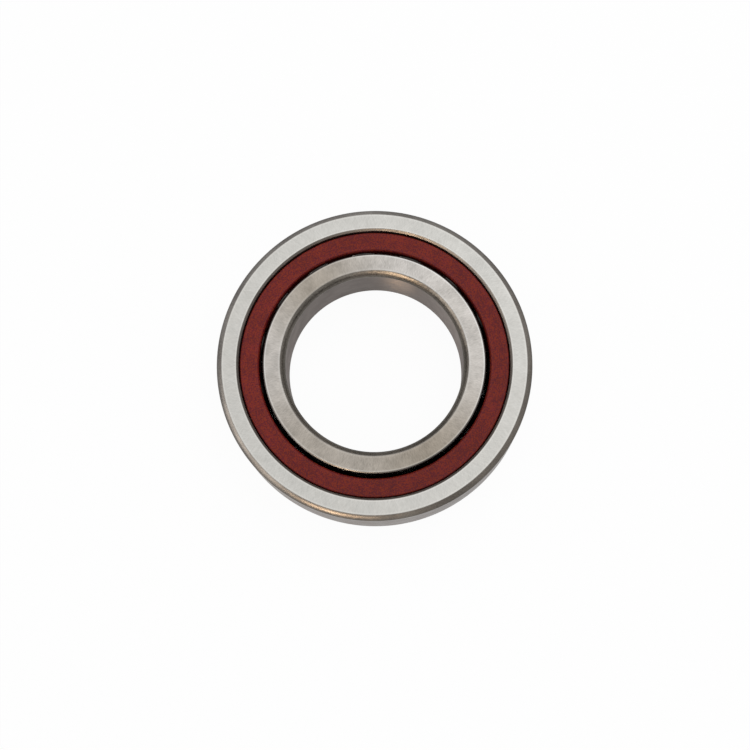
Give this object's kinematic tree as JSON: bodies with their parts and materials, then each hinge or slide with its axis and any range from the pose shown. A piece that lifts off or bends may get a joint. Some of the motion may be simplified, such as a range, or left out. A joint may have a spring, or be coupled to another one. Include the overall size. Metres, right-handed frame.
{
  "type": "angular contact bearing",
  "caption": "Open single-row angular contact ball bearing: two steel rings, a machined laminate cage and steel balls; carries radial load and thrust one way.",
  "frame": {"origin": "on the bearing axis, in the plane of the lower faces, where the bearing rests", "axes": "+Z along the bearing axis, towards the outer ring's high shoulder and back face; +Y through the centre of the first ball"},
  "size_m": [0.062, 0.062, 0.014],
  "materials": {
    "outer_ring_steel": "fine ground",
    "inner_ring_steel": "fine ground",
    "cage_laminate": "machined, matte",
    "ball_steel": "lapped and polished"
  },
  "bodies": {
    "outer_ring": {"outer_ring": "outer_ring_steel"},
    "inner_ring": {"inner_ring": "inner_ring_steel"},
    "cage": {"cage": "cage_laminate"},
    "ball_01": {"ball_01": "ball_steel"},
    "ball_02": {"ball_02": "ball_steel"},
    "ball_03": {"ball_03": "ball_steel"},
    "ball_04": {"ball_04": "ball_steel"},
    "ball_05": {"ball_05": "ball_steel"},
    "ball_06": {"ball_06": "ball_steel"},
    "ball_07": {"ball_07": "ball_steel"},
    "ball_08": {"ball_08": "ball_steel"},
    "ball_09": {"ball_09": "ball_steel"},
    "ball_10": {"ball_10": "ball_steel"},
    "ball_11": {"ball_11": "ball_steel"},
    "ball_12": {"ball_12": "ball_steel"},
    "ball_13": {"ball_13": "ball_steel"},
    "ball_14": {"ball_14": "ball_steel"},
    "ball_15": {"ball_15": "ball_steel"}
  },
  "joints": [
    {"name": "inner_ring_spin", "type": "hinge", "parent": "outer_ring", "child": "inner_ring", "pos_m": [0, 0, 0.007], "axis": [0, 0, 1], "continuous": true},
    {"name": "cage_orbit", "type": "hinge", "parent": "outer_ring", "child": "cage", "pos_m": [0, 0, 0.007], "axis": [0, 0, 1], "continuous": true},
    {"name": "ball_01_roll", "type": "hinge", "parent": "cage", "child": "ball_01", "pos_m": [0, 0.02425, 0.007], "axis": [0, -0.4226, 0.9063], "continuous": true},
    {"name": "ball_02_roll", "type": "hinge", "parent": "cage", "child": "ball_02", "pos_m": [-0.00986, 0.02215, 0.007], "axis": [0.1719, -0.3861, 0.9063], "continuous": true},
    {"name": "ball_03_roll", "type": "hinge", "parent": "cage", "child": "ball_03", "pos_m": [-0.01802, 0.01623, 0.007], "axis": [0.3141, -0.2828, 0.9063], "continuous": true},
    {"name": "ball_04_roll", "type": "hinge", "parent": "cage", "child": "ball_04", "pos_m": [-0.02306, 0.00749, 0.007], "axis": [0.4019, -0.1306, 0.9063], "continuous": true},
    {"name": "ball_05_roll", "type": "hinge", "parent": "cage", "child": "ball_05", "pos_m": [-0.02412, -0.00253, 0.007], "axis": [0.4203, 0.0442, 0.9063], "continuous": true},
    {"name": "ball_06_roll", "type": "hinge", "parent": "cage", "child": "ball_06", "pos_m": [-0.021, -0.01213, 0.007], "axis": [0.366, 0.2113, 0.9063], "continuous": true},
    {"name": "ball_07_roll", "type": "hinge", "parent": "cage", "child": "ball_07", "pos_m": [-0.01425, -0.01962, 0.007], "axis": [0.2484, 0.3419, 0.9063], "continuous": true},
    {"name": "ball_08_roll", "type": "hinge", "parent": "cage", "child": "ball_08", "pos_m": [-0.00504, -0.02372, 0.007], "axis": [0.0879, 0.4134, 0.9063], "continuous": true},
    {"name": "ball_09_roll", "type": "hinge", "parent": "cage", "child": "ball_09", "pos_m": [0.00504, -0.02372, 0.007], "axis": [-0.0879, 0.4134, 0.9063], "continuous": true},
    {"name": "ball_10_roll", "type": "hinge", "parent": "cage", "child": "ball_10", "pos_m": [0.01425, -0.01962, 0.007], "axis": [-0.2484, 0.3419, 0.9063], "continuous": true},
    {"name": "ball_11_roll", "type": "hinge", "parent": "cage", "child": "ball_11", "pos_m": [0.021, -0.01213, 0.007], "axis": [-0.366, 0.2113, 0.9063], "continuous": true},
    {"name": "ball_12_roll", "type": "hinge", "parent": "cage", "child": "ball_12", "pos_m": [0.02412, -0.00253, 0.007], "axis": [-0.4203, 0.0442, 0.9063], "continuous": true},
    {"name": "ball_13_roll", "type": "hinge", "parent": "cage", "child": "ball_13", "pos_m": [0.02306, 0.00749, 0.007], "axis": [-0.4019, -0.1306, 0.9063], "continuous": true},
    {"name": "ball_14_roll", "type": "hinge", "parent": "cage", "child": "ball_14", "pos_m": [0.01802, 0.01623, 0.007], "axis": [-0.3141, -0.2828, 0.9063], "continuous": true},
    {"name": "ball_15_roll", "type": "hinge", "parent": "cage", "child": "ball_15", "pos_m": [0.00986, 0.02215, 0.007], "axis": [-0.1719, -0.3861, 0.9063], "continuous": true}
  ],
  "couplings": [
    {"joint": "cage_orbit", "follows": "inner_ring_spin", "ratio": 0.42583},
    {"joint": "ball_01_roll", "follows": "inner_ring_spin", "ratio": -2.9877},
    {"joint": "ball_02_roll", "follows": "inner_ring_spin", "ratio": -2.9877},
    {"joint": "ball_03_roll", "follows": "inner_ring_spin", "ratio": -2.9877},
    {"joint": "ball_04_roll", "follows": "inner_ring_spin", "ratio": -2.9877},
    {"joint": "ball_05_roll", "follows": "inner_ring_spin", "ratio": -2.9877},
    {"joint": "ball_06_roll", "follows": "inner_ring_spin", "ratio": -2.9877},
    {"joint": "ball_07_roll", "follows": "inner_ring_spin", "ratio": -2.9877},
    {"joint": "ball_08_roll", "follows": "inner_ring_spin", "ratio": -2.9877},
    {"joint": "ball_09_roll", "follows": "inner_ring_spin", "ratio": -2.9877},
    {"joint": "ball_10_roll", "follows": "inner_ring_spin", "ratio": -2.9877},
    {"joint": "ball_11_roll", "follows": "inner_ring_spin", "ratio": -2.9877},
    {"joint": "ball_12_roll", "follows": "inner_ring_spin", "ratio": -2.9877},
    {"joint": "ball_13_roll", "follows": "inner_ring_spin", "ratio": -2.9877},
    {"joint": "ball_14_roll", "follows": "inner_ring_spin", "ratio": -2.9877},
    {"joint": "ball_15_roll", "follows": "inner_ring_spin", "ratio": -2.9877}
  ]
}
